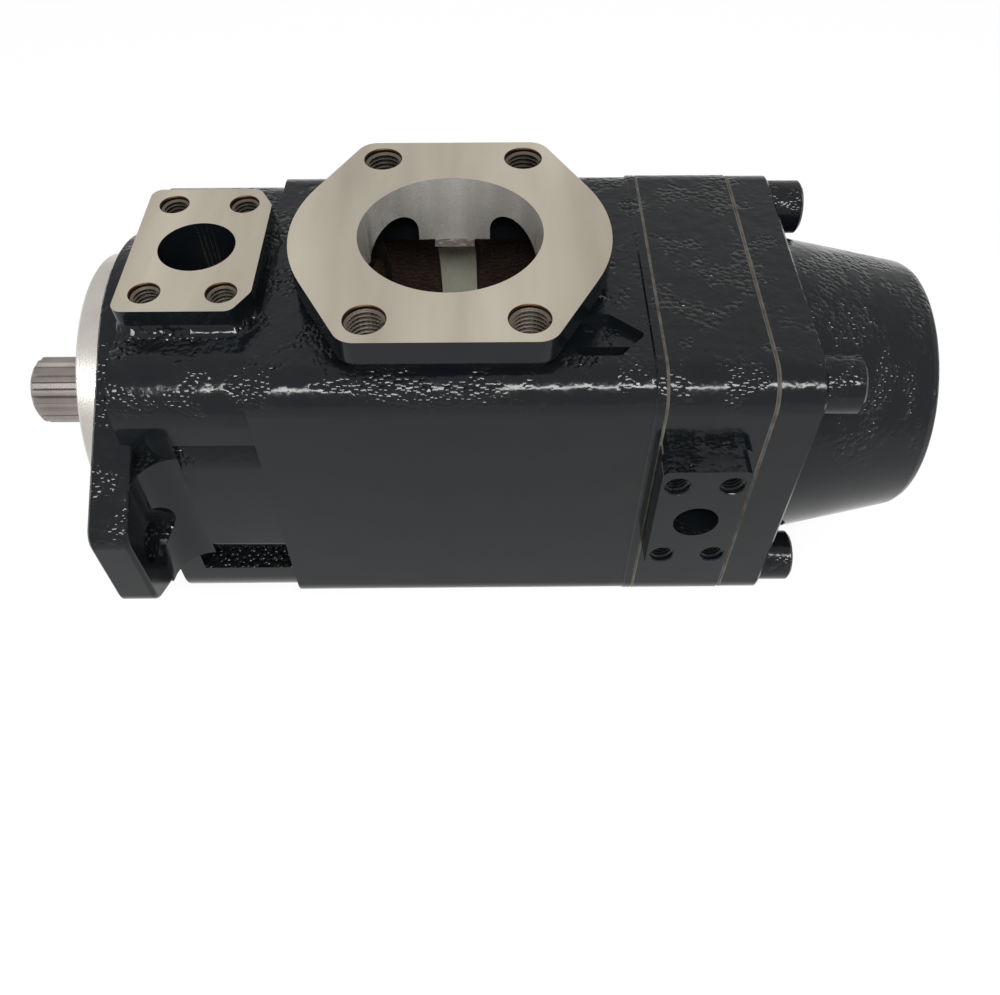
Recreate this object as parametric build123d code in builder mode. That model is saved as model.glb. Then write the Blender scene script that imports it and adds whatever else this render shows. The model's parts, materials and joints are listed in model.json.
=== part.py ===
from build123d import *
import math
import os

os.makedirs("parts", exist_ok=True)

# A triple hydraulic vane pump on one shaft. Millimetres. The shaft axis is X, the mounting face is
# the plane X = 0, the shaft end points to -X and the suction port faces +Z.

# ---- Driving sizes: castings ------------------------------------------------------------------
body_half = 74.0            # shaft axis to the side faces and the underside
body_top = 72.5             # shaft axis to the top face
body_corner = 15.0          # corner radius of the square section
nose_corner = 22.0          # larger corner radius of the nose behind the mounting flange
proud, band = 0.8, 4.5      # how far the joint bands stand out, and their width
nose_step = 1.0             # how far the nose lies inside the square section
rim = 0.6                   # chamfer where two castings meet
square_x = 65.5             # front end of the square section
joint_1_x = 227.0           # main housing to centre section
centre_length = 41.9        # centre section along the shaft
cover_flange = 19.6         # thickness of the rear cover's flange
bell_length = 62.0          # bell of the rear cover, from its flange to its end
bell_r_front, bell_r_end = 70.0, 58.0
bell_wall = 8.0
joint_2_x = joint_1_x + centre_length
cover_face_x = joint_2_x + cover_flange
end_x = cover_face_x + bell_length

# ---- Driving sizes: mounting end --------------------------------------------------------------
pilot_r, pilot_length = 63.5, 12.7
flange_r, flange_t = 72.6, 16.0
bolt_span, bolt_r = 181.0, 8.75
ear_reach, ear_half, ear_corner = 106.5, 26.5, 10.0

# ---- Driving sizes: ports (bore radius, bolt spacing, thread radius) --------------------------
s_x, s_face, s_r = 143.5, 88.9, 38.1
s_long, s_short, s_thread = 106.4, 61.9, 8.0
p1_x, p1_face, p1_r = 38.6, 82.5, 15.875
p1_long, p1_short, p1_thread = 58.7, 30.2, 6.0
p2_r, p2_long, p2_short, p2_thread = 9.525, 47.6, 22.2, 5.0
p2_offset = 2.55            # the small ports sit this far to either side of the section's middle
p2_z, p2_face = 5.5, 86.5
mid_x = (joint_1_x + joint_2_x) / 2
p2_x, p3_x = mid_x - p2_offset, mid_x + p2_offset

# ---- Driving sizes: shaft, bearings and cartridges --------------------------------------------
shaft_end_x = -55.6
spline_major, spline_minor, spline_teeth = 15.6, 14.1, 14
journal_r = 17.5            # under the shaft seal and the ball bearing
fit = 0.03                  # radial clearance of a running or located fit
play = 0.3                  # clearance between faces that pass each other
bearing_r, bearing_w, bearing_x = 36.0, 17.0, 2.0
ball_r, ball_pitch, ball_count = 5.55, 26.75, 9
main_bore = 66.0
screw_centre, screw_r, screw_head_r, screw_head_h = 59.0, 8.0, 12.0, 16.0
screw_length = 90.0
vane_count, vane_t, vane_reach = 10, 2.4, 11.5
vane_first = 9.0            # angle of the first vane slot, in degrees

# Each cartridge: front face of its plate pack, outer radius, rotor radius, cam ring width,
# spigot radius, shaft spline radius
front = dict(r=60.0, spigot_r=56.0, rotor_r=40.2, minor=41.0, major=45.5, width=26.0, spline=18.0)
middle = dict(r=52.0, spigot_r=44.0, rotor_r=33.2, minor=34.0, major=37.8, width=20.0, spline=16.0)
rear = dict(r=42.0, spigot_r=36.0, rotor_r=27.2, minor=28.0, major=31.2, width=17.0, spline=13.5)
plate_t, spigot_t, side_t = 6.0, 8.0, 9.5

front["seat"] = 66.0        # shoulder in the main housing that carries the front cartridge
middle["seat"] = joint_1_x  # the centre section's front face carries the middle cartridge
rear["seat"] = joint_2_x    # and its rear face the rear one
front["way"], middle["way"], rear["way"] = 1, -1, 1      # +1: rotor lies behind the seat


def save(builder, label):
    builder.part.label = label
    export_step(builder.part, "parts/" + label + ".step")


def turned(points, mode=Mode.ADD):
    """A closed (x, r) outline turned about the shaft axis."""
    with BuildSketch(Plane.XZ) as outline:
        with BuildLine():
            Polyline(*points, close=True)
        make_face()
    revolve(outline.sketch, axis=Axis.X, mode=mode)


def disc(x0, x1, r, mode=Mode.ADD):
    """A round disc or bore on the shaft axis from x0 to x1."""
    with BuildSketch(Plane.YZ.offset(x0)) as outline:
        Circle(r)
    extrude(outline.sketch, amount=x1 - x0, mode=mode)


def tube(x0, x1, r_out, r_in, mode=Mode.ADD):
    with BuildSketch(Plane.YZ.offset(x0)) as outline:
        Circle(r_out)
        Circle(r_in, mode=Mode.SUBTRACT)
    extrude(outline.sketch, amount=x1 - x0, mode=mode)


def section(x0, x1, grow=0.0, corner=body_corner, soften=0.0):
    """The rounded square section of the castings from x0 to x1; it grows on all but the underside."""
    width = 2 * (body_half + grow)
    height = body_half + body_top + grow
    with BuildSketch(Plane.YZ.offset(x0)) as outline:
        with Locations((0, height / 2 - body_half)):
            RectangleRounded(width, height, corner + grow)
    with BuildPart(mode=Mode.PRIVATE) as block:
        extrude(outline.sketch, amount=x1 - x0)
        if soften:
            chamfer(edges().group_by(Axis.X)[0] + edges().group_by(Axis.X)[-1], soften)
    add(block.part)


def port_plane(x, face, side):
    """The plane of a port's face: side is 'top', 'near' or 'far'."""
    if side == "top":
        return Plane(origin=(x, 0, face), x_dir=(1, 0, 0), z_dir=(0, 0, 1))
    if side == "near":
        return Plane(origin=(x, -face, p2_z), x_dir=(1, 0, 0), z_dir=(0, -1, 0))
    return Plane(origin=(x, face, p2_z), x_dir=(-1, 0, 0), z_dir=(0, 1, 0))


def flange_threads(plane, short, long, thread, depth):
    """Four blind holes of a split-flange port, each with a countersunk mouth."""
    with Locations(plane):
        with GridLocations(short, long, 2, 2):
            CounterSinkHole(thread, thread + 0.4, depth)


def screw_places(x):
    return [(x, sy * screw_centre, sz * screw_centre) for sy in (-1, 1) for sz in (-1, 1)]


def screw_holes(x_from, x_to, r):
    with BuildSketch(Plane.YZ.offset(x_from)) as holes:
        with GridLocations(2 * screw_centre, 2 * screw_centre, 2, 2):
            Circle(r)
    extrude(holes.sketch, amount=x_to - x_from, mode=Mode.SUBTRACT)


# ---- Main housing: flange, nose, square body, port pads and the cored chambers ----------------
seal_r = 26.0                        # radius of the seal pocket in the pilot
nose_x = flange_t
p1_chamber_r, p1_chamber_x = 44.0, bearing_x + bearing_w + 2.5
pocket_edge, pocket_top, pocket_low = 25.0, 41.0, 46.0
barrel_r = 77.4
land_x0, land_x1 = 134.5, 152.5
flare_r, flare_half = 16.0, 33.0     # flare behind the ears: its radius and half its height
spot_r = 14.5                        # spot face under each mounting bolt's head
pocket_top_x, pocket_low_x, pocket_reach = 32.0, 24.0, 40.0
p1_pad_x0, p1_pad_x1, p1_pad_y = 12.0, 65.5, 40.5
p1_cut_x, p1_cut_y, p1_pad_corner, p1_root = 6.5, 11.5, 5.0, 5.0
pad_root_z = 60.0                    # pads are drawn down to here, inside the casting
recess_upper = ((192, -55), (192, -32), (207, -32), (221, -44), (210, -55))
recess_lower = ((193, -56), (193, -46), (219, -46), (210, -56))
pad_t = 12.0                         # suction pad: thickness, round ends and the two flats
pad_r, pad_flat = 66.0, 66.0
pad_corner_x, pad_corner_r, neck_step = 34.0, 9.0, 4.0
gallery_r = 69.0
gallery_offset, gallery_half, gallery_top = 26.0, 10.0, 75.0
chamber_front, chamber_back = 109.0, 182.0


def suction_outline(z, inset):
    """Outline of the suction boss at height z: a disc with two flats, drawn in by inset."""
    with BuildSketch(Plane.XY.offset(z)) as outline:
        with Locations((s_x, 0)):
            Circle(pad_r - inset)
            with GridLocations(2 * pad_corner_x, 2 * (pad_flat - pad_corner_r), 2, 2):
                Circle(pad_corner_r - inset)
        make_hull()
    return outline.sketch


with BuildPart() as main_housing:
    # mounting flange: a disc with tangent edges running out to two blunt ears
    with BuildSketch(Plane.YZ) as flange_outline:
        Circle(flange_r)
        with GridLocations(2 * (ear_reach - ear_corner), 2 * (ear_half - ear_corner), 2, 2):
            Circle(ear_corner)
        make_hull()
    extrude(amount=flange_t)
    fillet(edges().group_by(Axis.X)[-1], 2.0)
    chamfer(edges().group_by(Axis.X)[0], 1.0)
    # concave flare from the back of each ear into the side of the nose
    nose_half, nose_top = body_half - nose_step, body_top - nose_step
    with BuildPart(mode=Mode.PRIVATE) as flare:
        with BuildSketch(Plane.XY):
            with BuildLine():
                CenterArc((flange_t + flare_r, nose_half + flare_r), flare_r, 180, 90)
                Polyline((flange_t + flare_r, nose_half), (flange_t + flare_r, pad_root_z),
                         (flange_t - 3, pad_root_z), (flange_t - 3, nose_half + flare_r),
                         (flange_t, nose_half + flare_r))
            make_face()
        extrude(amount=flare_half, both=True)
        mirror(about=Plane.XZ)
        extrude(flange_outline.sketch, amount=2 * flange_t + flare_r, mode=Mode.INTERSECT)
    add(flare.part)
    # nose, from which the pad of the first pressure port rises through a fillet
    with BuildPart(mode=Mode.PRIVATE) as nose:
        section(p1_pad_x0 - 10, square_x + 20, grow=-nose_step, corner=nose_corner)
        with BuildSketch(Plane.XY.offset(p1_face)):
            with BuildLine():
                Polyline((p1_pad_x0, -p1_pad_y), (p1_pad_x1 - p1_cut_x, -p1_pad_y),
                         (p1_pad_x1, -p1_pad_y + p1_cut_y), (p1_pad_x1, p1_pad_y - p1_cut_y),
                         (p1_pad_x1 - p1_cut_x, p1_pad_y), (p1_pad_x0, p1_pad_y), close=True)
            make_face()
            fillet(vertices(), p1_pad_corner)
        extrude(amount=pad_root_z - p1_face)
        root = edges().filter_by_position(Axis.Z, nose_top - 0.01, nose_top + 0.01)
        inner = root.filter_by_position(Axis.Y, -p1_pad_y - 0.1, p1_pad_y + 0.1)
        fillet(inner.filter_by_position(Axis.X, p1_pad_x0 - 1, p1_pad_x1 + 1), p1_root)
        disc(0, p1_pad_x0, 2 * body_half, mode=Mode.SUBTRACT)
    # two long pockets down each side of it, between the barrel and the corner ridges
    with BuildPart(mode=Mode.PRIVATE) as pockets:
        for side in (-1, 1):
            for z0, z1, x0 in ((pocket_edge, pocket_top, pocket_top_x),
                               (-pocket_low, -pocket_edge, pocket_low_x)):
                with BuildSketch(Plane.YZ.offset(x0)):
                    with Locations((side * body_half, (z0 + z1) / 2)):
                        Rectangle(pocket_reach, z1 - z0)
                extrude(amount=square_x - x0)
        disc(0, square_x + 5, barrel_r, mode=Mode.SUBTRACT)
    with BuildPart(mode=Mode.PRIVATE) as pocketed_nose:
        add(nose.part)
        add(pockets.part, mode=Mode.SUBTRACT)
    add(pocketed_nose.part)
    # square body with its raised joint band
    section(square_x, joint_1_x)
    section(joint_1_x - band, joint_1_x, grow=proud, soften=rim)
    # recess in the top beside the suction boss, stepped halfway over the gallery below
    for outline, depth in ((recess_upper, 4.0), (recess_lower, 9.0)):
        with BuildSketch(Plane.XY.offset(body_top)):
            with BuildLine():
                Polyline(*outline, close=True)
            make_face()
            fillet(vertices(), 2.5)
        extrude(amount=-depth, taper=12, mode=Mode.SUBTRACT)
    # suction boss: a pad on a narrower neck
    extrude(suction_outline(body_top - 6, neck_step), amount=s_face - body_top)
    with BuildPart(mode=Mode.PRIVATE) as suction_pad:
        extrude(suction_outline(s_face - pad_t, 0), amount=pad_t)
        fillet(edges().group_by(Axis.Z)[0], 2.0)
    add(suction_pad.part)
    # pilot
    disc(-pilot_length, 0, pilot_r)
    chamfer(edges().filter_by(GeomType.CIRCLE).sort_by(Axis.X)[0], 1.0)
    # shaft passage, seal pocket, bearing seat and first pressure chamber
    disc(-pilot_length, 0, seal_r, mode=Mode.SUBTRACT)
    disc(-pilot_length, bearing_x, 22.0, mode=Mode.SUBTRACT)
    disc(bearing_x, p1_chamber_x, bearing_r + fit, mode=Mode.SUBTRACT)
    disc(p1_chamber_x, front["seat"], p1_chamber_r, mode=Mode.SUBTRACT)
    disc(front["seat"] - spigot_t - play, front["seat"], front["spigot_r"] + fit, mode=Mode.SUBTRACT)
    # main bore and the two cored suction galleries either side of the machined land
    disc(front["seat"], joint_1_x, main_bore, mode=Mode.SUBTRACT)
    disc(chamber_front, land_x0, gallery_r, mode=Mode.SUBTRACT)
    disc(land_x1, chamber_back, gallery_r, mode=Mode.SUBTRACT)
    for side in (-1, 1):
        with BuildSketch(Plane.XZ):
            with Locations((s_x + side * gallery_offset, gallery_top - gallery_half)):
                Circle(gallery_half)
            with Locations((s_x + side * gallery_offset, gallery_top - gallery_half - 12)):
                Rectangle(2 * gallery_half, 24)
        extrude(amount=42, both=True, mode=Mode.SUBTRACT)
    # ports
    with Locations(port_plane(s_x, s_face, "top")):
        Hole(s_r, s_face - 57.7)
    flange_threads(port_plane(s_x, s_face, "top"), s_short, s_long, s_thread, 22)
    with Locations(port_plane(p1_x, p1_face, "top")):
        Hole(p1_r, p1_face - 20)
    flange_threads(port_plane(p1_x, p1_face, "top"), p1_short, p1_long, p1_thread, 20)
    # flange bolt holes and the four cover screw threads
    with BuildSketch(Plane.YZ):
        with GridLocations(bolt_span, 1, 2, 1):
            Circle(bolt_r)
    extrude(amount=flange_t + 12, mode=Mode.SUBTRACT)
    with BuildSketch(Plane.YZ.offset(flange_t)):
        with GridLocations(bolt_span, 1, 2, 1):
            Circle(spot_r)
    extrude(amount=flare_r, mode=Mode.SUBTRACT)
    screw_holes(joint_1_x - 36, joint_1_x, screw_r)
    # grooves for the front joint's sealing ring and for the two retaining rings
    tube(joint_1_x - 2.5, joint_1_x, 71.1, 67.9, mode=Mode.SUBTRACT)
    tube(-11.5, -9.7, seal_r + 1.0, seal_r - 1, mode=Mode.SUBTRACT)
    tube(bearing_x + bearing_w, bearing_x + bearing_w + 2.0, bearing_r + 1.5, bearing_r - 1,
         mode=Mode.SUBTRACT)
save(main_housing, "main_housing")


# ---- Centre section: the two small pressure ports, their chambers and the suction passages ----
web_half = 6.0
passage_r, passage_width, passage_angle = 56.5, 9.0, 64.0
port_pad_x, port_pad_z = 18.0, 32.75

with BuildPart() as center_section:
    section(joint_1_x, joint_2_x, grow=proud, soften=rim)
    for side, x in (("near", p2_x), ("far", p3_x)):
        # a low base with its upper ledge, then the machined pad
        with BuildSketch(port_plane(x, body_half, side)):
            with Locations((0, 2.5)):
                RectangleRounded(2 * port_pad_x + 0.6, 2 * port_pad_z + 6, 4)
        extrude(amount=5.5)
        with BuildSketch(port_plane(x, body_half, side)):
            RectangleRounded(2 * port_pad_x, 2 * port_pad_z, 3)
        extrude(amount=p2_face - body_half)
    # spigot bores and pressure chambers either side of the web that carries the bushing
    disc(joint_1_x, joint_1_x + spigot_t + play, middle["spigot_r"] + fit, mode=Mode.SUBTRACT)
    disc(joint_1_x, mid_x - web_half, middle["spigot_r"] - 9, mode=Mode.SUBTRACT)
    disc(joint_2_x - spigot_t - play, joint_2_x, rear["spigot_r"] + fit, mode=Mode.SUBTRACT)
    disc(mid_x + web_half, joint_2_x, rear["spigot_r"] - 7, mode=Mode.SUBTRACT)
    disc(mid_x - web_half, mid_x + web_half, 21.0, mode=Mode.SUBTRACT)
    # port bores and the cross drillings that reach the chambers
    for side, x, reach in (("near", p2_x, -1), ("far", p3_x, 1)):
        with Locations(port_plane(x, p2_face, side)):
            Hole(p2_r, p2_face - 45)
        with Locations(port_plane(mid_x + reach * (web_half + 4.2), 48, side)):
            Hole(4.0, 24)
        flange_threads(port_plane(x, p2_face, side), p2_short, p2_long, p2_thread, 18)
    # arc-shaped suction passages above and below the chambers
    with BuildSketch(Plane.YZ.offset(joint_1_x)) as passages:
        for middle_angle in (90, 270):
            with BuildLine(mode=Mode.PRIVATE) as passage_line:
                CenterArc((0, 0), passage_r, middle_angle - passage_angle / 2, passage_angle)
            SlotArc(passage_line.edge(), passage_width)
    extrude(passages.sketch, amount=centre_length, mode=Mode.SUBTRACT)
    screw_holes(joint_1_x, joint_2_x, screw_r + 0.5)
    # groove for the rear joint's sealing ring
    tube(joint_2_x - 2.5, joint_2_x, 70.1, 66.9, mode=Mode.SUBTRACT)
save(center_section, "center_section")


# ---- Rear cover: square flange and a bell that closes the suction chamber ---------------------
bush_boss_r, bush_boss_x = 24.0, 316.0
bell_round = 7.0
end_journal_r, end_journal_length = 12.0, 22.0

with BuildPart() as rear_cover:
    section(joint_2_x, cover_face_x, grow=proud / 2, soften=2 * rim)
    turned([(cover_face_x - 1, 0), (cover_face_x - 1, bell_r_front), (cover_face_x, bell_r_front),
            (end_x - 4, bell_r_end), (end_x, bell_r_end - 2), (end_x, 0)])
    fillet(edges().filter_by(GeomType.CIRCLE).sort_by(Axis.X)[-2:], 3.6)
    # spot faces for the screw heads bite into the bell
    with BuildSketch(Plane.YZ.offset(cover_face_x)):
        with GridLocations(2 * screw_centre, 2 * screw_centre, 2, 2):
            Circle(screw_head_r + 2)
    extrude(amount=screw_head_h + 4, mode=Mode.SUBTRACT)
    # inside of the bell, leaving the bushing boss
    with BuildPart(mode=Mode.PRIVATE) as hollow:
        turned([(joint_2_x, 0), (joint_2_x, bell_r_front - bell_wall),
                (cover_face_x, bell_r_front - bell_wall), (end_x - bell_wall, bell_r_end - bell_wall),
                (end_x - bell_wall, 0)])
        fillet(edges().filter_by(GeomType.CIRCLE).sort_by(Axis.X)[-1], 8)
        disc(bush_boss_x, end_x, bush_boss_r, mode=Mode.SUBTRACT)
    add(hollow.part, mode=Mode.SUBTRACT)
    disc(bush_boss_x, bush_boss_x + end_journal_length + 3, end_journal_r + 4, mode=Mode.SUBTRACT)
    screw_holes(joint_2_x, cover_face_x, screw_r + 0.5)
save(rear_cover, "rear_cover")


# ---- Cover screws: four socket head cap screws through both joints ----------------------------
with BuildPart() as cover_screws:
    for place in screw_places(cover_face_x):
        with BuildSketch(Plane(origin=place, x_dir=(0, 1, 0), z_dir=(1, 0, 0))) as head:
            Circle(screw_head_r)
        extrude(head.sketch, amount=screw_head_h)
        with BuildSketch(Plane(origin=place, x_dir=(0, 1, 0), z_dir=(1, 0, 0))) as shank:
            Circle(screw_r - 0.1)
        extrude(shank.sketch, amount=-screw_length)
    rims = edges().filter_by(GeomType.CIRCLE).group_by(Axis.X)[-1]
    chamfer(rims, 1.2)
    for place in screw_places(cover_face_x + screw_head_h):
        with BuildSketch(Plane(origin=place, x_dir=(0, 1, 0), z_dir=(1, 0, 0))) as socket:
            RegularPolygon(14 / 2, 6, major_radius=False)
        extrude(socket.sketch, amount=-screw_r, mode=Mode.SUBTRACT)
save(cover_screws, "cover_screws")


# ---- Joint sealing rings ----------------------------------------------------------------------
with BuildPart() as joint_seal_front:
    tube(joint_1_x - 2.45, joint_1_x - 0.05, 71.0, 68.0)
save(joint_seal_front, "joint_seal_front")

with BuildPart() as joint_seal_rear:
    tube(joint_2_x - 2.45, joint_2_x - 0.05, 70.0, 67.0)
save(joint_seal_rear, "joint_seal_rear")


# ---- Shaft seal, its garter spring and retaining ring -----------------------------------------
ring_x, ring_t = -11.4, 1.6

with BuildPart() as shaft_seal:
    turned([(-9.6, seal_r - fit), (-0.2, seal_r - fit), (-0.2, 22.6), (-1.6, 22.6), (-1.6, 24.2),
            (-8.0, 24.2), (-8.0, 20.2), (-3.8, 19.2), (-4.6, journal_r + fit), (-6.2, 18.5),
            (-9.6, 18.5)])
save(shaft_seal, "shaft_seal")

with BuildPart() as seal_spring:
    with BuildSketch(Plane.XZ) as wire:
        with Locations((-4.9, 20.5)):
            Circle(0.7)
    revolve(wire.sketch, axis=Axis.X)
save(seal_spring, "seal_spring")

with BuildPart() as seal_retaining_ring:
    tube(ring_x, ring_x + ring_t, seal_r + 0.9, seal_r - 2.6)
    with BuildSketch(Plane.YZ.offset(ring_x)) as lugs:
        with Locations((-4.5, -seal_r + 3.2), (4.5, -seal_r + 3.2)):
            Circle(2.8)
    extrude(lugs.sketch, amount=ring_t)
    with BuildSketch(Plane.YZ.offset(ring_x)) as gap:
        with Locations((0, -seal_r)):
            Rectangle(4, 14)
        with Locations((-4.5, -seal_r + 3.2), (4.5, -seal_r + 3.2)):
            Circle(1.1)
    extrude(gap.sketch, amount=ring_t, mode=Mode.SUBTRACT)
save(seal_retaining_ring, "seal_retaining_ring")


# ---- Drive shaft: splined end, journals and three rotor splines -------------------------------
def spline_sketch(x, major, core, teeth, tip_half, root_half, grow=0.0):
    """Splined section at x: a core circle and straight-flanked teeth that start inside it."""
    root = core - 0.8
    with BuildSketch(Plane.YZ.offset(x)) as outline:
        Circle(core + grow)
        with PolarLocations(0, teeth):
            Polygon((root, -root_half - grow), (major + grow, -tip_half - grow),
                    (major + grow, tip_half + grow), (root, root_half + grow), align=None)
    return outline.sketch


def rotor_spline(x, r, core, grow=0.0):
    """The finer spline that carries a rotor."""
    return spline_sketch(x, r, core, 16, 0.09 * r, 0.12 * r, grow)


def place(cartridge, u):
    """The x of a point u behind the cartridge's seat."""
    return cartridge["seat"] + cartridge["way"] * u


cartridges = {"front": front, "middle": middle, "rear": rear}
center_journal_r = 15.0
shoulder_x = bearing_x + bearing_w
end_journal_x = bush_boss_x + 1
spline_end_x = -13.0
tail_x = end_journal_x + end_journal_length - 1.5

with BuildPart() as drive_shaft:
    turned([(spline_end_x - 1, 0), (spline_end_x - 1, spline_minor - 0.3),
            (spline_end_x, spline_minor - 0.3), (spline_end_x + 1.6, journal_r),
            (-1.7, journal_r), (shoulder_x, journal_r), (shoulder_x, 21), (31, 21),
            (33, front["spline"] - 1.3), (joint_1_x - 40, front["spline"] - 1.3),
            (joint_1_x - 39, middle["spline"] - 1.3), (joint_1_x, middle["spline"] - 1.3),
            (joint_1_x, center_journal_r), (joint_2_x - spigot_t - 2, center_journal_r),
            (joint_2_x - spigot_t - 1, rear["spline"] - 1.3), (end_journal_x - 2, rear["spline"] - 1.3),
            (end_journal_x - 2, end_journal_r), (tail_x - 1, end_journal_r),
            (tail_x, end_journal_r - 1), (tail_x, 0)])
    # driven spline, with its end chamfer and its run-out
    with BuildPart(mode=Mode.PRIVATE) as driven_spline:
        extrude(spline_sketch(shaft_end_x, spline_major, spline_minor, spline_teeth, 1.15, 2.3),
                amount=spline_end_x - shaft_end_x)
        turned([(shaft_end_x, 0), (shaft_end_x, spline_minor - 0.4),
                (shaft_end_x + 1.8, spline_major + 0.1), (spline_end_x - 1.5, spline_major + 0.1),
                (spline_end_x, spline_minor - 0.2), (spline_end_x, 0)], mode=Mode.INTERSECT)
    add(driven_spline.part)
    for cartridge in cartridges.values():
        x0, x1 = place(cartridge, plate_t), place(cartridge, plate_t + cartridge["width"])
        extrude(rotor_spline(x0, cartridge["spline"], cartridge["spline"] - 2.0), amount=x1 - x0)
    # centre drilling in the end face and the groove of the bearing ring
    with Locations(Plane(origin=(shaft_end_x, 0, 0), z_dir=(-1, 0, 0))):
        CounterSinkHole(2.5, 5.0, 9)
    tube(bearing_x - 1.75, bearing_x - 0.05, journal_r + 1, journal_r - 1.0, mode=Mode.SUBTRACT)
save(drive_shaft, "drive_shaft")


# ---- Front ball bearing and its two rings -----------------------------------------------------
bearing_mid = bearing_x + bearing_w / 2
inner_land, outer_land = 24.2, 29.4


def ball_groove():
    with BuildSketch(Plane.XZ) as groove:
        with Locations((bearing_mid, ball_pitch)):
            Circle(ball_r + 0.08)
    revolve(groove.sketch, axis=Axis.X, mode=Mode.SUBTRACT)


with BuildPart() as bearing_inner_race:
    tube(bearing_x, bearing_x + bearing_w - 0.05, inner_land, journal_r + 0.01)
    chamfer(edges().filter_by(GeomType.CIRCLE).group_by(SortBy.RADIUS)[-1], 0.6)
    ball_groove()
save(bearing_inner_race, "bearing_inner_race")

with BuildPart() as bearing_outer_race:
    tube(bearing_x, bearing_x + bearing_w - 0.05, bearing_r, outer_land)
    chamfer(edges().filter_by(GeomType.CIRCLE).group_by(SortBy.RADIUS)[-1], 0.8)
    ball_groove()
save(bearing_outer_race, "bearing_outer_race")

with BuildPart() as bearing_balls:
    with Locations(Plane.YZ.offset(bearing_mid)):
        with PolarLocations(ball_pitch, ball_count):
            Sphere(ball_r)
save(bearing_balls, "bearing_balls")

with BuildPart() as bearing_cage:
    tube(bearing_mid - 6.6, bearing_mid + 6.6, 28.0, 25.5)
    with Locations(Plane.YZ.offset(bearing_mid)):
        with PolarLocations(ball_pitch, ball_count):
            Cylinder(ball_r + 0.1, 8, rotation=(0, 90, 0), mode=Mode.SUBTRACT)
save(bearing_cage, "bearing_cage")

with BuildPart() as bearing_shaft_ring:
    tube(bearing_x - 1.7, bearing_x - 0.1, journal_r + 2.6, journal_r - 0.9)
save(bearing_shaft_ring, "bearing_shaft_ring")

with BuildPart() as bearing_housing_ring:
    tube(bearing_x + bearing_w + 0.05, bearing_x + bearing_w + 1.95, bearing_r + 1.4, bearing_r - 3.2)
save(bearing_housing_ring, "bearing_housing_ring")


# ---- Bushings of the centre web and of the rear cover -----------------------------------------
with BuildPart() as center_bushing:
    tube(mid_x - web_half, mid_x + web_half, 21.0 - 0.01, center_journal_r + fit)
save(center_bushing, "center_bushing")

with BuildPart() as rear_bushing:
    tube(bush_boss_x + 0.5, bush_boss_x + 0.5 + end_journal_length - 2, end_journal_r + 4 - 0.01,
         end_journal_r + fit)
save(rear_bushing, "rear_bushing")


# ---- Vane cartridges --------------------------------------------------------------------------
fix_r, fix_head_r, fix_head_h, pin_r = 2.5, 4.25, 5.0, 3.0
running = 0.05              # side clearance of the rotor and the vanes between their plates


def fixing_radius(c):
    """Screws and dowels stand midway between the cam track and the outside of the ring."""
    return (c["r"] + c["major"]) / 2


def cam_radius(c, angle):
    """The two-lobed cam track: one smooth rise and fall each half turn."""
    return c["minor"] + (c["major"] - c["minor"]) * (1 - math.cos(2 * math.radians(angle))) / 2


def fixing_holes(c, u0, u1, r, first, mode=Mode.SUBTRACT):
    with BuildSketch(Plane.YZ.offset(place(c, u0))) as holes:
        with PolarLocations(fixing_radius(c), 2, start_angle=first):
            Circle(r)
    extrude(holes.sketch, amount=c["way"] * (u1 - u0), mode=mode)


def kidneys(c, u0, u1, r, width, first, sweep):
    """Two arc-shaped ports through a plate."""
    with BuildSketch(Plane.YZ.offset(place(c, u0))) as ports:
        for start in (first, first + 180):
            with BuildLine(mode=Mode.PRIVATE) as port_line:
                CenterArc((0, 0), r, start - sweep / 2, sweep)
            SlotArc(port_line.edge(), width)
    extrude(ports.sketch, amount=c["way"] * (u1 - u0), mode=Mode.SUBTRACT)


def make_vane(c, angle):
    """One vane at rest, fully in its slot, its tip rounded to run on the cam track."""
    length = vane_reach if c is front else vane_reach * c["rotor_r"] / front["rotor_r"]
    tip = c["rotor_r"] - 0.4
    half_t = vane_t / 2 - 0.03
    radial = Plane(origin=(place(c, plate_t + running), 0, 0), z_dir=(1, 0, 0),
                   x_dir=(0, math.cos(math.radians(angle)), math.sin(math.radians(angle))))
    with BuildSketch(radial) as outline:
        with BuildLine():
            Line((tip - length, -half_t), (tip - 0.5, -half_t))
            ThreePointArc((tip - 0.5, -half_t), (tip, 0), (tip - 0.5, half_t))
            Line((tip - 0.5, half_t), (tip - length, half_t))
            Line((tip - length, half_t), (tip - length, -half_t))
        make_face()
    extrude(outline.sketch, amount=c["way"] * (c["width"] - 2 * running))


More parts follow.
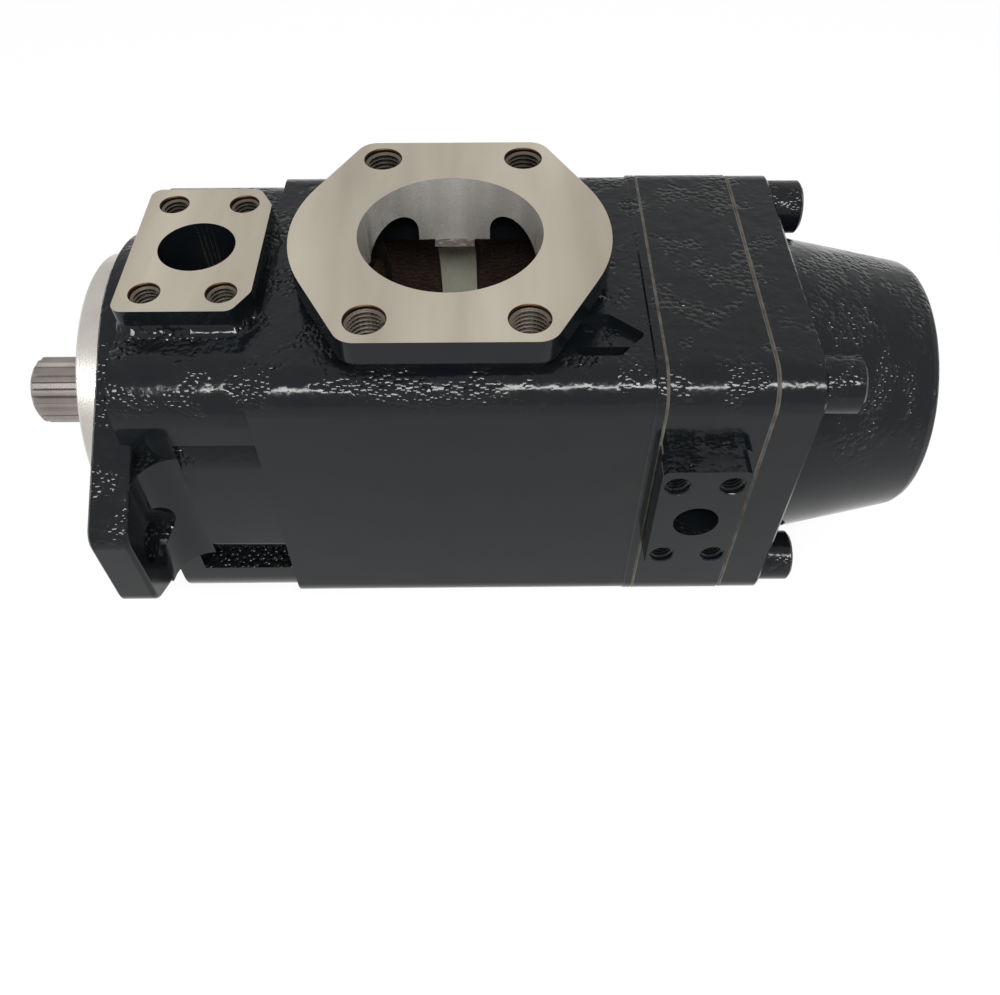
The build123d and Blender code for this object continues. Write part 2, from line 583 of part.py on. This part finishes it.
for name, c in cartridges.items():
    ring_u, side_u = plate_t, plate_t + c["width"]
    outer_u = side_u + side_t
    shaft_hole = c["spline"] + 1.0

    with BuildPart() as pressure_plate:
        disc(place(c, -spigot_t), place(c, 0), c["spigot_r"])
        disc(place(c, 0), place(c, plate_t), c["r"])
        disc(place(c, -spigot_t), place(c, plate_t), shaft_hole, mode=Mode.SUBTRACT)
        tube(place(c, -5.5), place(c, -2.0), c["spigot_r"] + 1, c["spigot_r"] - 2.6, mode=Mode.SUBTRACT)
        kidneys(c, -spigot_t, plate_t, c["minor"] - 2, 4.5, 135, 44)
        fixing_holes(c, 0.5, plate_t, fix_r, 0)
        fixing_holes(c, 2.0, plate_t, pin_r, 90)
    save(pressure_plate, name + "_pressure_plate")

    with BuildPart() as plate_seal:
        tube(place(c, -5.4), place(c, -2.1), c["spigot_r"] + 0.01, c["spigot_r"] - 2.5)
    save(plate_seal, name + "_plate_seal")

    with BuildPart() as cam_ring:
        disc(place(c, ring_u), place(c, side_u), c["r"])
        with BuildSketch(Plane.YZ.offset(place(c, ring_u))) as track:
            with BuildLine():
                Spline([(cam_radius(c, a) * math.cos(math.radians(a)),
                         cam_radius(c, a) * math.sin(math.radians(a))) for a in range(0, 360, 15)],
                       periodic=True)
            make_face()
        extrude(track.sketch, amount=c["way"] * c["width"], mode=Mode.SUBTRACT)
        fixing_holes(c, ring_u, side_u, fix_r + 0.2, 0)
        fixing_holes(c, ring_u, side_u, pin_r, 90)
    save(cam_ring, name + "_cam_ring")

    with BuildPart() as side_plate:
        disc(place(c, side_u), place(c, outer_u), c["r"])
        disc(place(c, side_u), place(c, outer_u), shaft_hole, mode=Mode.SUBTRACT)
        kidneys(c, side_u, outer_u, c["minor"] - 1, 6.5, 45, 50)
        fixing_holes(c, side_u, outer_u, fix_r + 0.2, 0)
        fixing_holes(c, side_u, side_u + 4.0, pin_r, 90)
    save(side_plate, name + "_side_plate")

    with BuildPart() as cartridge_screws:
        fixing_holes(c, 0.6, outer_u, fix_r - 0.05, 0, mode=Mode.ADD)
        fixing_holes(c, outer_u, outer_u + fix_head_h, fix_head_r, 0, mode=Mode.ADD)
        for turn in (0, 180):
            head = Plane.YZ.offset(place(c, outer_u + fix_head_h))
            with BuildSketch(head) as socket:
                with PolarLocations(fixing_radius(c), 1, start_angle=turn):
                    RegularPolygon(2.0, 6, major_radius=False)
            extrude(socket.sketch, amount=-c["way"] * 2.8, mode=Mode.SUBTRACT)
    save(cartridge_screws, name + "_cartridge_screws")

    with BuildPart() as dowels:
        fixing_holes(c, 2.1, side_u + 3.9, pin_r - 0.02, 90, mode=Mode.ADD)
    save(dowels, name + "_dowels")

    with BuildPart() as rotor:
        x0 = place(c, ring_u + running)
        width = c["way"] * (c["width"] - 2 * running)
        slot_floor = c["rotor_r"] - 0.4 - (vane_reach + 1.5) * c["rotor_r"] / front["rotor_r"]
        disc(x0, x0 + width, c["rotor_r"])
        with BuildSketch(Plane.YZ.offset(x0)) as slots:
            with PolarLocations(0, vane_count, start_angle=vane_first):
                with Locations(((slot_floor + c["rotor_r"] + 2) / 2, 0)):
                    Rectangle(c["rotor_r"] + 2 - slot_floor, vane_t)
                with Locations((slot_floor, 0)):
                    Circle(vane_t * 0.75)
        extrude(slots.sketch, amount=width, mode=Mode.SUBTRACT)
        extrude(rotor_spline(x0, c["spline"], c["spline"] - 1.3, grow=0.06), amount=width,
                mode=Mode.SUBTRACT)
    save(rotor, name + "_rotor")

    angles = [vane_first + k * 360 / vane_count for k in range(vane_count)]
    if c is front:
        for k, angle in enumerate(angles):
            with BuildPart() as vane:
                make_vane(c, angle)
            save(vane, f"front_vane_{k + 1:02d}")
    else:
        with BuildPart() as vanes:
            for angle in angles:
                make_vane(c, angle)
        save(vanes, name + "_vanes")
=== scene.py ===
import json
import math

import bmesh
import bpy
from mathutils import Matrix, Vector


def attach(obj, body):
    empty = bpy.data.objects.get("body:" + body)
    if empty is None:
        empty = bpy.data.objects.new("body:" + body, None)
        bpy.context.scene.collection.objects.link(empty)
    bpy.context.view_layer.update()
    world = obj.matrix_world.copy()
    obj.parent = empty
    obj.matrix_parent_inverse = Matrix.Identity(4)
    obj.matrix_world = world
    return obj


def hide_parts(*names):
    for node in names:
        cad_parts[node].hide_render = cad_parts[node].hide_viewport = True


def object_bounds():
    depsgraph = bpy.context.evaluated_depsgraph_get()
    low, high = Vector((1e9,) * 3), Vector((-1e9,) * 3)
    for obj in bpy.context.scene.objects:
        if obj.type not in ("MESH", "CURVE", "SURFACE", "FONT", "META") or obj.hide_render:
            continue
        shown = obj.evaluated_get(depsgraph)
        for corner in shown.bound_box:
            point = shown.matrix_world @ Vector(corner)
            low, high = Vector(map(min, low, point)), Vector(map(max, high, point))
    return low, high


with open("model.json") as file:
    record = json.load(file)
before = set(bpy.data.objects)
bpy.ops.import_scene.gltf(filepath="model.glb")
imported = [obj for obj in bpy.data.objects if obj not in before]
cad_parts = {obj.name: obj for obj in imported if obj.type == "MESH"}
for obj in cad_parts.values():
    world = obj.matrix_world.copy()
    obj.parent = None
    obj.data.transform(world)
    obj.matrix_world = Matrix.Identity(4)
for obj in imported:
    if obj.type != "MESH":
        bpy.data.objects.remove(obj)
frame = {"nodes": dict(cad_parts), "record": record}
cad_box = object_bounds()


# ---- Studio -----------------------------------------------------------------------------------
# A white floor under the pump, an evenly lit white room and one long soft strip lamp above the
# near side. The camera looks down on the near side, over the suction port.
MM = 0.001


def linear(hex_colour):
    """An sRGB hex colour as linear RGBA."""
    parts = [int(hex_colour[i:i + 2], 16) / 255 for i in (1, 3, 5)]
    return [c / 12.92 if c <= 0.04045 else ((c + 0.055) / 1.055) ** 2.4 for c in parts] + [1.0]


def add_node(material, kind, settings=None, links=None):
    """One shader node: settings are properties or socket values, links are socket to source."""
    node = material.node_tree.nodes.new(kind)
    for key, value in (settings or {}).items():
        if isinstance(key, str) and hasattr(node, key):
            setattr(node, key, value)
        else:
            node.inputs[key].default_value = value
    for key, source in (links or {}).items():
        material.node_tree.links.new(source, node.inputs[key])
    return node


def new_material(name):
    material = bpy.data.materials.new(name)
    material.use_nodes = True
    material.node_tree.nodes.clear()
    return material


def link_mesh(bm, name):
    mesh = bpy.data.meshes.new(name)
    bm.to_mesh(mesh)
    bm.free()
    piece = bpy.data.objects.new(name, mesh)
    bpy.context.scene.collection.objects.link(piece)
    return piece


camera_data = bpy.data.cameras.new("camera")
camera_data.sensor_width = 36.0
camera_data.lens = 33.55
camera_data.clip_start = 0.01
camera = bpy.data.objects.new("camera", camera_data)
camera.location = Vector((160.6, -320.1, 320.9)) * MM
camera.rotation_mode = "XYZ"
camera.rotation_euler = [math.radians(a) for a in (38.14, 0.0, -0.563)]
bpy.context.scene.collection.objects.link(camera)
bpy.context.scene.camera = camera
bpy.context.scene.view_settings.view_transform = "Standard"

floor_white = new_material("white_studio_floor")
matt = add_node(floor_white, "ShaderNodeBsdfDiffuse", {"Color": linear("#efefef")})
glow = add_node(floor_white, "ShaderNodeEmission", {"Color": (1, 1, 1, 1), "Strength": 1.0})
rays = add_node(floor_white, "ShaderNodeLightPath")
seen = add_node(floor_white, "ShaderNodeMath", {"operation": "MAXIMUM"},
                {0: rays.outputs["Is Camera Ray"], 1: rays.outputs["Is Glossy Ray"]})
seen_through = add_node(floor_white, "ShaderNodeMath", {"operation": "MAXIMUM"},
                        {0: seen.outputs[0], 1: rays.outputs["Is Transmission Ray"]})
share = add_node(floor_white, "ShaderNodeMath", {"operation": "MULTIPLY", 1: 0.86},
                 {0: seen_through.outputs[0]})
blend = add_node(floor_white, "ShaderNodeMixShader",
                 links={0: share.outputs[0], 1: matt.outputs[0], 2: glow.outputs[0]})
add_node(floor_white, "ShaderNodeOutputMaterial", links={"Surface": blend.outputs[0]})

floor_mesh = bmesh.new()
bmesh.ops.create_grid(floor_mesh, x_segments=1, y_segments=1, size=3.0,
                      matrix=Matrix.Translation((0.15, 0, cad_box[0][2] - 0.5 * MM)))
floor = link_mesh(floor_mesh, "floor")
floor.data.materials.append(floor_white)

world = bpy.data.worlds.new("studio")
world.use_nodes = True
world.node_tree.nodes["Background"].inputs["Color"].default_value = linear("#ffffff")
# plain white where the camera sees past the floor, three quarters of that as light
world_rays = world.node_tree.nodes.new("ShaderNodeLightPath")
world_level = world.node_tree.nodes.new("ShaderNodeMapRange")
world_level.inputs["To Min"].default_value = 0.75
world_level.inputs["To Max"].default_value = 1.0
world.node_tree.links.new(world_rays.outputs["Is Camera Ray"], world_level.inputs["Value"])
world.node_tree.links.new(world_level.outputs[0], world.node_tree.nodes["Background"].inputs["Strength"])
bpy.context.scene.world = world

lamp_place = Vector((0.20, -0.85, 1.0))
lamp_data = bpy.data.lights.new("strip_lamp", "AREA")
lamp_data.shape = "RECTANGLE"
lamp_data.size, lamp_data.size_y = 1.1, 0.20
lamp_data.energy = 20.0
lamp = bpy.data.objects.new("strip_lamp", lamp_data)
lamp.location = lamp_place
lamp.rotation_mode = "QUATERNION"
lamp.rotation_quaternion = (Vector((0.20, 0, 0)) - lamp_place).to_track_quat("-Z", "Y")
bpy.context.scene.collection.objects.link(lamp)


# ---- Castings ---------------------------------------------------------------------------------
# Main housing, centre section and rear cover are sand castings in grey iron, sprayed together
# with gloss black enamel after assembly. The two large port faces, the port bores, the land in the
# suction chamber and the pilot were masked or cut afterwards and show bare iron.
black_enamel = new_material("gloss_black_enamel_on_sand_cast_iron")
# Gloss paint over sand-cast skin: up-facing skin is lumpy and glitters, side faces flowed smooth.
spot = add_node(black_enamel, "ShaderNodeTexCoord")
facing = add_node(black_enamel, "ShaderNodeSeparateXYZ", links={0: spot.outputs["Normal"]})
up_facing = add_node(black_enamel, "ShaderNodeMapRange",
                     {"From Min": 0.15, "From Max": 0.55, "To Min": 0.0, "To Max": 1.0},
                     {"Value": facing.outputs["Z"]})
# patches of heavier skin, about 18 mm across
patches = add_node(black_enamel, "ShaderNodeTexNoise", {"Scale": 55.0, "Detail": 2.0},
                   {"Vector": spot.outputs["Object"]})
heavy = add_node(black_enamel, "ShaderNodeMapRange",
                 {"From Min": 0.50, "From Max": 0.58, "To Min": 0.04, "To Max": 1.0},
                 {"Value": patches.outputs["Fac"]})
heavy.name = "heavy_skin"
skin_amount = add_node(black_enamel, "ShaderNodeMath", {"operation": "MULTIPLY"},
                       {0: heavy.outputs[0], 1: up_facing.outputs[0]})
# paint-rounded sand grains as low domes, 2.4 mm apart, so each gives one glint under the lamp,
# and the softer waviness of the mould, 6 mm apart
grains = add_node(black_enamel, "ShaderNodeTexVoronoi", {"feature": "F1", "Scale": 420.0},
                  {"Vector": spot.outputs["Object"]})
domes = add_node(black_enamel, "ShaderNodeMath", {"operation": "POWER", 1: 2.0},
                 {0: grains.outputs["Distance"]})
waves = add_node(black_enamel, "ShaderNodeTexNoise", {"Scale": 160.0, "Detail": 2.0},
                 {"Vector": spot.outputs["Object"]})
peel = add_node(black_enamel, "ShaderNodeTexNoise", {"Scale": 45.0, "Detail": 1.0},
                {"Vector": spot.outputs["Object"]})
peel_bump = add_node(black_enamel, "ShaderNodeBump", {"Strength": 0.25, "Distance": 0.0006},
                     {"Height": peel.outputs["Fac"]})
# no two grains stand equally high
uneven = add_node(black_enamel, "ShaderNodeMath", {"operation": "MULTIPLY"},
                  {0: domes.outputs[0], 1: grains.outputs["Color"]})
wave_bump = add_node(black_enamel, "ShaderNodeBump", {"Distance": 0.0004},
                     {"Height": waves.outputs["Fac"], "Normal": peel_bump.outputs[0],
                      "Strength": up_facing.outputs[0]})
grain_bump = add_node(black_enamel, "ShaderNodeBump", {"Distance": 0.0018, "invert": True},
                      {"Height": uneven.outputs[0], "Normal": wave_bump.outputs[0],
                       "Strength": skin_amount.outputs[0]})
grain_bump.name = "grain_bump"
tone = add_node(black_enamel, "ShaderNodeMixRGB",
                {"Color1": linear("#080c12"), "Color2": linear("#111312")},
                {"Fac": patches.outputs["Fac"]})
gloss = add_node(black_enamel, "ShaderNodeMapRange",
                 {"From Min": 0.3, "From Max": 0.7, "To Min": 0.08, "To Max": 0.2},
                 {"Value": waves.outputs["Fac"]})
paint = add_node(black_enamel, "ShaderNodeBsdfPrincipled", {"IOR": 1.32},
                 {"Base Color": tone.outputs[0], "Roughness": gloss.outputs[0],
                  "Normal": grain_bump.outputs[0]})
add_node(black_enamel, "ShaderNodeOutputMaterial", links={"Surface": paint.outputs[0]})

# The same paint where the sand left its heaviest skin: ledges and the root of the port pad.
coarse_enamel = black_enamel.copy()
coarse_enamel.name = "gloss_black_enamel_on_coarse_skin"
coarse_enamel.node_tree.nodes["grain_bump"].inputs["Distance"].default_value = 0.0036
coarse_enamel.node_tree.nodes["heavy_skin"].inputs["To Min"].default_value = 0.7

# Painted highlight along the joints: a paler, duller enamel that draws each joint as the light line its
# chamfer catches.
joint_highlight_enamel = new_material("enamel_painted_highlight_at_joints")
joint_spot = add_node(joint_highlight_enamel, "ShaderNodeTexCoord")
joint_noise = add_node(joint_highlight_enamel, "ShaderNodeTexNoise", {"Scale": 180.0, "Detail": 3.0},
                     {"Vector": joint_spot.outputs["Object"]})
joint_highlight_tone = add_node(joint_highlight_enamel, "ShaderNodeMixRGB",
                    {"Color1": linear("#1c1b19"), "Color2": linear("#6a665e")},
                    {"Fac": joint_noise.outputs["Fac"]})
joint_bump = add_node(joint_highlight_enamel, "ShaderNodeBump", {"Strength": 0.4, "Distance": 0.0003},
                    {"Height": joint_noise.outputs["Fac"]})
joint_highlight_paint = add_node(joint_highlight_enamel, "ShaderNodeBsdfPrincipled", {"Roughness": 0.45},
                  {"Base Color": joint_highlight_tone.outputs[0], "Normal": joint_bump.outputs[0]})
add_node(joint_highlight_enamel, "ShaderNodeOutputMaterial", links={"Surface": joint_highlight_paint.outputs[0]})

# Unpainted sand skin inside the suction galleries, dark brown under a film of oil.
cored_skin = new_material("oily_cored_iron_skin")
core_spot = add_node(cored_skin, "ShaderNodeTexCoord")
core_patches = add_node(cored_skin, "ShaderNodeTexNoise", {"Scale": 70.0, "Detail": 4.0},
                        {"Vector": core_spot.outputs["Object"]})
core_grain = add_node(cored_skin, "ShaderNodeTexVoronoi", {"feature": "F1", "Scale": 420.0},
                      {"Vector": core_spot.outputs["Object"]})
core_tone = add_node(cored_skin, "ShaderNodeMixRGB",
                     {"Color1": linear("#1f1817"), "Color2": linear("#40352f")},
                     {"Fac": core_patches.outputs["Fac"]})
core_bump = add_node(cored_skin, "ShaderNodeBump", {"Strength": 0.7, "Distance": 0.0008, "invert": True},
                     {"Height": core_grain.outputs["Distance"]})
core_oil = add_node(cored_skin, "ShaderNodeBsdfPrincipled", {"Roughness": 0.28},
                    {"Base Color": core_tone.outputs[0], "Normal": core_bump.outputs[0]})
add_node(cored_skin, "ShaderNodeOutputMaterial", links={"Surface": core_oil.outputs[0]})


def machined(name, low, high, across, pitch, depth, rough, mottle=28.0, metallic=1.0,
             highlight_stretch=(1, 1, 1)):
    """Bare machined metal: tool marks run across one axis, or in rings about it, in faint patches; where
    the patches are stretched, they draw painted highlight streaks.
    """
    material = new_material(name)
    where = add_node(material, "ShaderNodeTexCoord")
    streak_space = add_node(material, "ShaderNodeMapping", {"Scale": highlight_stretch},
                     {"Vector": where.outputs["Object"]})
    mottle_and_painted_streaks = add_node(material, "ShaderNodeTexNoise", {"Scale": mottle, "Detail": 4.0},
                      {"Vector": streak_space.outputs[0]})
    marks = add_node(material, "ShaderNodeTexWave",
                     {"wave_type": "BANDS", "bands_direction": across, "Scale": 0.314 / pitch,
                      "Distortion": 0.6, "Detail": 2.0, "Detail Scale": 3.0},
                     {"Vector": where.outputs["Object"]})
    grit = add_node(material, "ShaderNodeTexNoise", {"Scale": 1400.0, "Detail": 2.0},
                    {"Vector": where.outputs["Object"]})
    tint_and_painted_highlights = add_node(material, "ShaderNodeMixRGB", {"Color1": linear(low), "Color2": linear(high)},
                    {"Fac": mottle_and_painted_streaks.outputs["Fac"]})
    worn = add_node(material, "ShaderNodeMath", {"operation": "MULTIPLY_ADD", 1: 0.18, 2: rough - 0.09},
                    {0: grit.outputs["Fac"]})
    marks_bump = add_node(material, "ShaderNodeBump", {"Strength": 0.5, "Distance": depth},
                          {"Height": marks.outputs["Fac"]})
    metal = add_node(material, "ShaderNodeBsdfPrincipled", {"Metallic": metallic},
                     {"Base Color": tint_and_painted_highlights.outputs[0], "Roughness": worn.outputs[0],
                      "Normal": marks_bump.outputs[0]})
    add_node(material, "ShaderNodeOutputMaterial", links={"Surface": metal.outputs[0]})
    return material


# face-milled port faces, 0.8 mm feed; bored walls, ringed about Z; turned pilot and bores, about X
# the milled faces' colour patches are stretched along Y into lighter bands across X: painted reflection
# bands
milled_iron_with_painted_bands = machined("face_milled_grey_iron_painted_reflection_bands", "#857e6e", "#f3e9d7", "X", 0.8 * MM, 0.02 * MM, 0.34,
                       26.0, highlight_stretch=(1, 0.16, 1))
# the bored walls' colour patches are stretched along Z into vertical streaks up to near-white: painted
# highlight
bored_iron_with_painted_streaks = machined("bored_grey_iron_painted_highlight_streaks", "#857f77", "#fffdf8", "Z", 0.5 * MM, 0.2 * MM, 0.3,
                      42.0, 0.85, (1, 1, 0.06))
turned_iron = machined("turned_grey_iron", "#a19b94", "#f6f2ea", "X", 0.6 * MM, 0.04 * MM, 0.3)
land_iron = machined("rough_bored_land", "#88887a", "#b8b8a6", "X", 1.2 * MM, 0.3 * MM, 0.45,
                     metallic=0.1)
thread_root = machined("oiled_thread_root", "#2e2117", "#4a3524", "Z", 0.9 * MM, 0.05 * MM, 0.45)

# along the shaft: the two joints, the suction port's axis, the suction chamber and its land
JOINT_1_X, JOINT_2_X, SUCTION_X = 227.0, 268.9, 143.5
CHAMBER_X0, CHAMBER_X1, LAND_X0, LAND_X1 = 108.5, 182.5, 134.0, 153.0
MAIN_BORE, GALLERY = 66.6, 69.6

body_of = {n: body for body, nodes in frame["record"]["behaviour"]["bodies"].items() for n in nodes}


def finished_copy(node, materials, pick=None, sharp=32.0):
    """A merged, smooth copy that stands for a CAD node; pick(centre, normal) gives a material's number."""
    bm = bmesh.new()
    bm.from_mesh(frame["nodes"][node].data)
    bmesh.ops.remove_doubles(bm, verts=bm.verts, dist=1e-6)
    bm.normal_update()
    for edge in bm.edges:
        edge.smooth = len(edge.link_faces) == 2 and edge.calc_face_angle(0) < math.radians(sharp)
    for face in bm.faces:
        face.smooth = True
        if pick:
            face.material_index = pick(face.calc_center_median() / MM, face.normal)
    piece = link_mesh(bm, node + "_finish")
    for material in materials:
        piece.data.materials.append(material)
    even = piece.modifiers.new("even_shading", "WEIGHTED_NORMAL")
    even.keep_sharp = True
    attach(piece, body_of[node])
    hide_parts(node)
    return piece


# suction port, first pressure port: bore axis, bore radius, face height, screw thread radius, screws
S_PORT = (SUCTION_X, 38.1, 88.9, 8.0, [(SUCTION_X + i * 30.95, j * 53.2) for i in (-1, 1) for j in (-1, 1)])
P1_PORT = (38.6, 15.875, 82.5, 6.0, [(38.6 + i * 15.1, j * 29.35) for i in (-1, 1) for j in (-1, 1)])


def housing_material(centre, normal):
    """Which of the housing's nine finishes, in the order given below, a face has."""
    radius = math.hypot(centre.y, centre.z)
    for port_x, bore, face_z, thread, screws in (S_PORT, P1_PORT):
        if any(math.hypot(centre.x - x, centre.y - y) < thread + 0.45 for x, y in screws) and (
                centre.z < face_z - 0.001 and centre.z > face_z - 26):
            return 5
        if normal.z > 0.99 and abs(centre.z - face_z) < 0.05:
            return 1
        away = math.hypot(centre.x - port_x, centre.y)
        if abs(away - bore) < 0.3 and abs(normal.z) < 0.1 and centre.z > 55:
            return 2 if bore > 30 else 0
    if normal.z > 0.9 and 24 < centre.x < 65.4 and (centre.z < -40 or 71.6 < centre.z < 77):
        return 6
    if centre.x < 0.01 or (radius < 45 and centre.x < 64):
        return 3
    if radius < MAIN_BORE and (centre.x < 109 or centre.x > 182):
        return 3
    if LAND_X0 < centre.x < LAND_X1 and radius < MAIN_BORE:
        return 4
    if CHAMBER_X0 < centre.x < CHAMBER_X1 and (radius < GALLERY or (
            math.hypot(centre.x - SUCTION_X, centre.y) < 40 and 40 < centre.z < 76)):
        return 8
    # joint 1's chamfer faces get the paler enamel: a painted highlight along the joint
    if abs(centre.x - JOINT_1_X) < 0.75 and 0.3 < abs(normal.x) < 0.95:
        return 7
    return 0


finished_copy("main_housing",
              [black_enamel, milled_iron_with_painted_bands, bored_iron_with_painted_streaks, turned_iron, land_iron, thread_root,
               coarse_enamel, joint_highlight_enamel, cored_skin],
              housing_material)


def cover_material(limit):
    """Bare iron inside a radius, paler enamel as a painted highlight along the two joints, enamel
    elsewhere.
    """
    def pick(centre, normal):
        if math.hypot(centre.y, centre.z) < limit:
            return 1
        at_joint = abs(centre.x - JOINT_1_X) < 0.75 or -0.75 < centre.x - JOINT_2_X < 1.3
        return 2 if at_joint and 0.3 < abs(normal.x) < 0.95 else 0
    return pick


finished_copy("center_section", [black_enamel, turned_iron, joint_highlight_enamel],
              cover_material(52.0))
finished_copy("rear_cover", [black_enamel, turned_iron, joint_highlight_enamel],
              cover_material(17.0))


# ---- Port screw threads -----------------------------------------------------------------------
# Four blind tapped holes round each flanged port. Metric coarse threads cut into the grey iron:
# bright oily crests over brown roots; the small ports' threads were painted with the castings.
thread_crest = machined("tapped_iron_crest", "#443f39", "#877f73", "Z", 0.5 * MM, 0.02 * MM, 0.3)


def tapped_thread(name, mouth, direction, radius, pitch, depth, material):
    """The ridge of a female thread: its profile spun down the wall of a blind hole."""
    height, steps = 0.58 * pitch, 28
    turns = int((depth - 1.5) / pitch)
    bm = bmesh.new()
    profile = [(radius + 0.04, 0.44), (radius - height, 0.07), (radius - height, -0.07),
               (radius + 0.04, -0.44)]
    ring = [bm.verts.new((r, 0, -0.8 * pitch + z * pitch)) for r, z in profile]
    loop = [bm.edges.new((ring[i], ring[(i + 1) % 4])) for i in range(4)]
    bm.faces.new(ring)
    turned = bmesh.ops.spin(bm, geom=ring + loop, cent=(0, 0, 0), axis=(0, 0, 1),
                            dvec=(0, 0, -pitch / steps), angle=turns * math.tau,
                            steps=turns * steps, use_duplicate=False)
    last = [v for v in turned["geom_last"] if isinstance(v, bmesh.types.BMVert)]
    bmesh.ops.contextual_create(bm, geom=last)
    bmesh.ops.recalc_face_normals(bm, faces=bm.faces)
    for face in bm.faces:
        face.smooth = False
    turn = Vector((0, 0, 1)).rotation_difference(Vector(direction)).to_matrix().to_4x4()
    bmesh.ops.transform(bm, matrix=Matrix.Scale(MM, 4) @ Matrix.Translation(mouth) @ turn, verts=bm.verts)
    piece = link_mesh(bm, name)
    piece.data.materials.append(material)
    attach(piece, "housing")


for port_name, (_, _, face_z, thread, screws), pitch, depth in (
        ("suction", S_PORT, 2.0, 22.0), ("pressure_1", P1_PORT, 1.75, 20.0)):
    for number, (x, y) in enumerate(screws):
        tapped_thread(f"{port_name}_thread_{number + 1}", (x, y, face_z - 0.4), (0, 0, 1), thread,
                      pitch, depth, thread_crest)
for port_name, port_x, side in (("pressure_2", 245.4, -1), ("pressure_3", 250.5, 1)):
    for number, (i, k) in enumerate(((-1, -1), (-1, 1), (1, -1), (1, 1))):
        tapped_thread(f"{port_name}_thread_{number + 1}",
                      (port_x + i * 11.1, side * 86.1, 5.5 + k * 23.8), (0, side, 0), 5.0, 1.5, 18.0,
                      black_enamel)


# ---- Cover screws -----------------------------------------------------------------------------
# Four M16 socket head cap screws draw the rear cover and centre section onto the main housing.
# Alloy steel, painted over with the castings.
finished_copy("cover_screws", [black_enamel])


# ---- Drive shaft ------------------------------------------------------------------------------
# One alloy steel shaft with a hobbed driving spline, ground journals and three rotor splines.
# The spline flanks hold a film of brown oil.
shaft_steel = machined("hobbed_shaft_steel", "#6f6866", "#a8a19b", "X", 0.7 * MM, 0.03 * MM, 0.33, 60.0)
finished_copy("drive_shaft", [shaft_steel])


# ---- Shaft seal -------------------------------------------------------------------------------
# Nitrile lip seal with its garter spring, held in the pilot by an internal retaining ring.
nitrile = new_material("moulded_nitrile_rubber")
rubber_spot = add_node(nitrile, "ShaderNodeTexCoord")
bloom = add_node(nitrile, "ShaderNodeTexNoise", {"Scale": 320.0, "Detail": 3.0},
                 {"Vector": rubber_spot.outputs["Object"]})
rubber_tone = add_node(nitrile, "ShaderNodeMixRGB",
                       {"Color1": linear("#161514"), "Color2": linear("#282624")},
                       {"Fac": bloom.outputs["Fac"]})
rubber_bump = add_node(nitrile, "ShaderNodeBump", {"Strength": 0.3, "Distance": 0.0002},
                       {"Height": bloom.outputs["Fac"]})
rubber = add_node(nitrile, "ShaderNodeBsdfPrincipled", {"Roughness": 0.6, "IOR": 1.52},
                  {"Base Color": rubber_tone.outputs[0], "Normal": rubber_bump.outputs[0]})
add_node(nitrile, "ShaderNodeOutputMaterial", links={"Surface": rubber.outputs[0]})

for node in ("shaft_seal", "joint_seal_front", "joint_seal_rear", "front_plate_seal",
             "middle_plate_seal", "rear_plate_seal"):
    finished_copy(node, [nitrile])

spring_steel = machined("phosphated_spring_steel", "#3a3836", "#5a5754", "X", 0.4 * MM, 0.01 * MM, 0.4)
for node in ("seal_spring", "seal_retaining_ring", "bearing_shaft_ring", "bearing_housing_ring"):
    finished_copy(node, [spring_steel])


# ---- Ball bearing and bushings ----------------------------------------------------------------
# Deep groove ball bearing behind the seal: ground bearing steel rings and balls in a machined
# brass cage. The shaft also turns in a bronze bushing in the centre web and one in the rear cover.
bearing_steel = machined("ground_bearing_steel", "#a5a4a2", "#cfcecb", "X", 0.3 * MM, 0.005 * MM, 0.16)
cage_brass = machined("turned_brass", "#9c7a3a", "#c5a35a", "X", 0.5 * MM, 0.02 * MM, 0.3)
bush_bronze = machined("bored_tin_bronze", "#7d5a38", "#a57a4e", "X", 0.5 * MM, 0.02 * MM, 0.35)
for node in ("bearing_outer_race", "bearing_inner_race", "bearing_balls"):
    finished_copy(node, [bearing_steel])
finished_copy("bearing_cage", [cage_brass])
for node in ("center_bushing", "rear_bushing"):
    finished_copy(node, [bush_bronze])


# ---- Vane cartridges --------------------------------------------------------------------------
# Three cartridges, each a pressure plate, cam ring, slotted rotor with ten vanes, and side plate,
# screwed and dowelled into one pack. Plates are lapped bronze-faced iron, ring, rotor and vanes
# hardened and ground steel, and the screws black oxide.
lapped_plate = machined("lapped_port_plate", "#8a7a5c", "#a8966f", "Y", 0.5 * MM, 0.01 * MM, 0.3)
ground_ring = machined("ground_cam_ring_steel", "#8f8f8e", "#b9b8b5", "X", 0.4 * MM, 0.01 * MM, 0.22)
ground_vane = machined("ground_vane_steel", "#a7a6a3", "#cbcac7", "X", 0.3 * MM, 0.006 * MM, 0.18)
black_oxide = machined("black_oxide_screw_steel", "#1d1d1f", "#303032", "X", 0.5 * MM, 0.02 * MM, 0.35)
for pack in ("front", "middle", "rear"):
    for piece_name in ("pressure_plate", "side_plate"):
        finished_copy(f"{pack}_{piece_name}", [lapped_plate])
    for piece_name in ("cam_ring", "rotor", "dowels"):
        finished_copy(f"{pack}_{piece_name}", [ground_ring])
    finished_copy(f"{pack}_cartridge_screws", [black_oxide])
for number in range(1, 11):
    finished_copy(f"front_vane_{number:02d}", [ground_vane])
for pack in ("middle", "rear"):
    finished_copy(f"{pack}_vanes", [ground_vane])
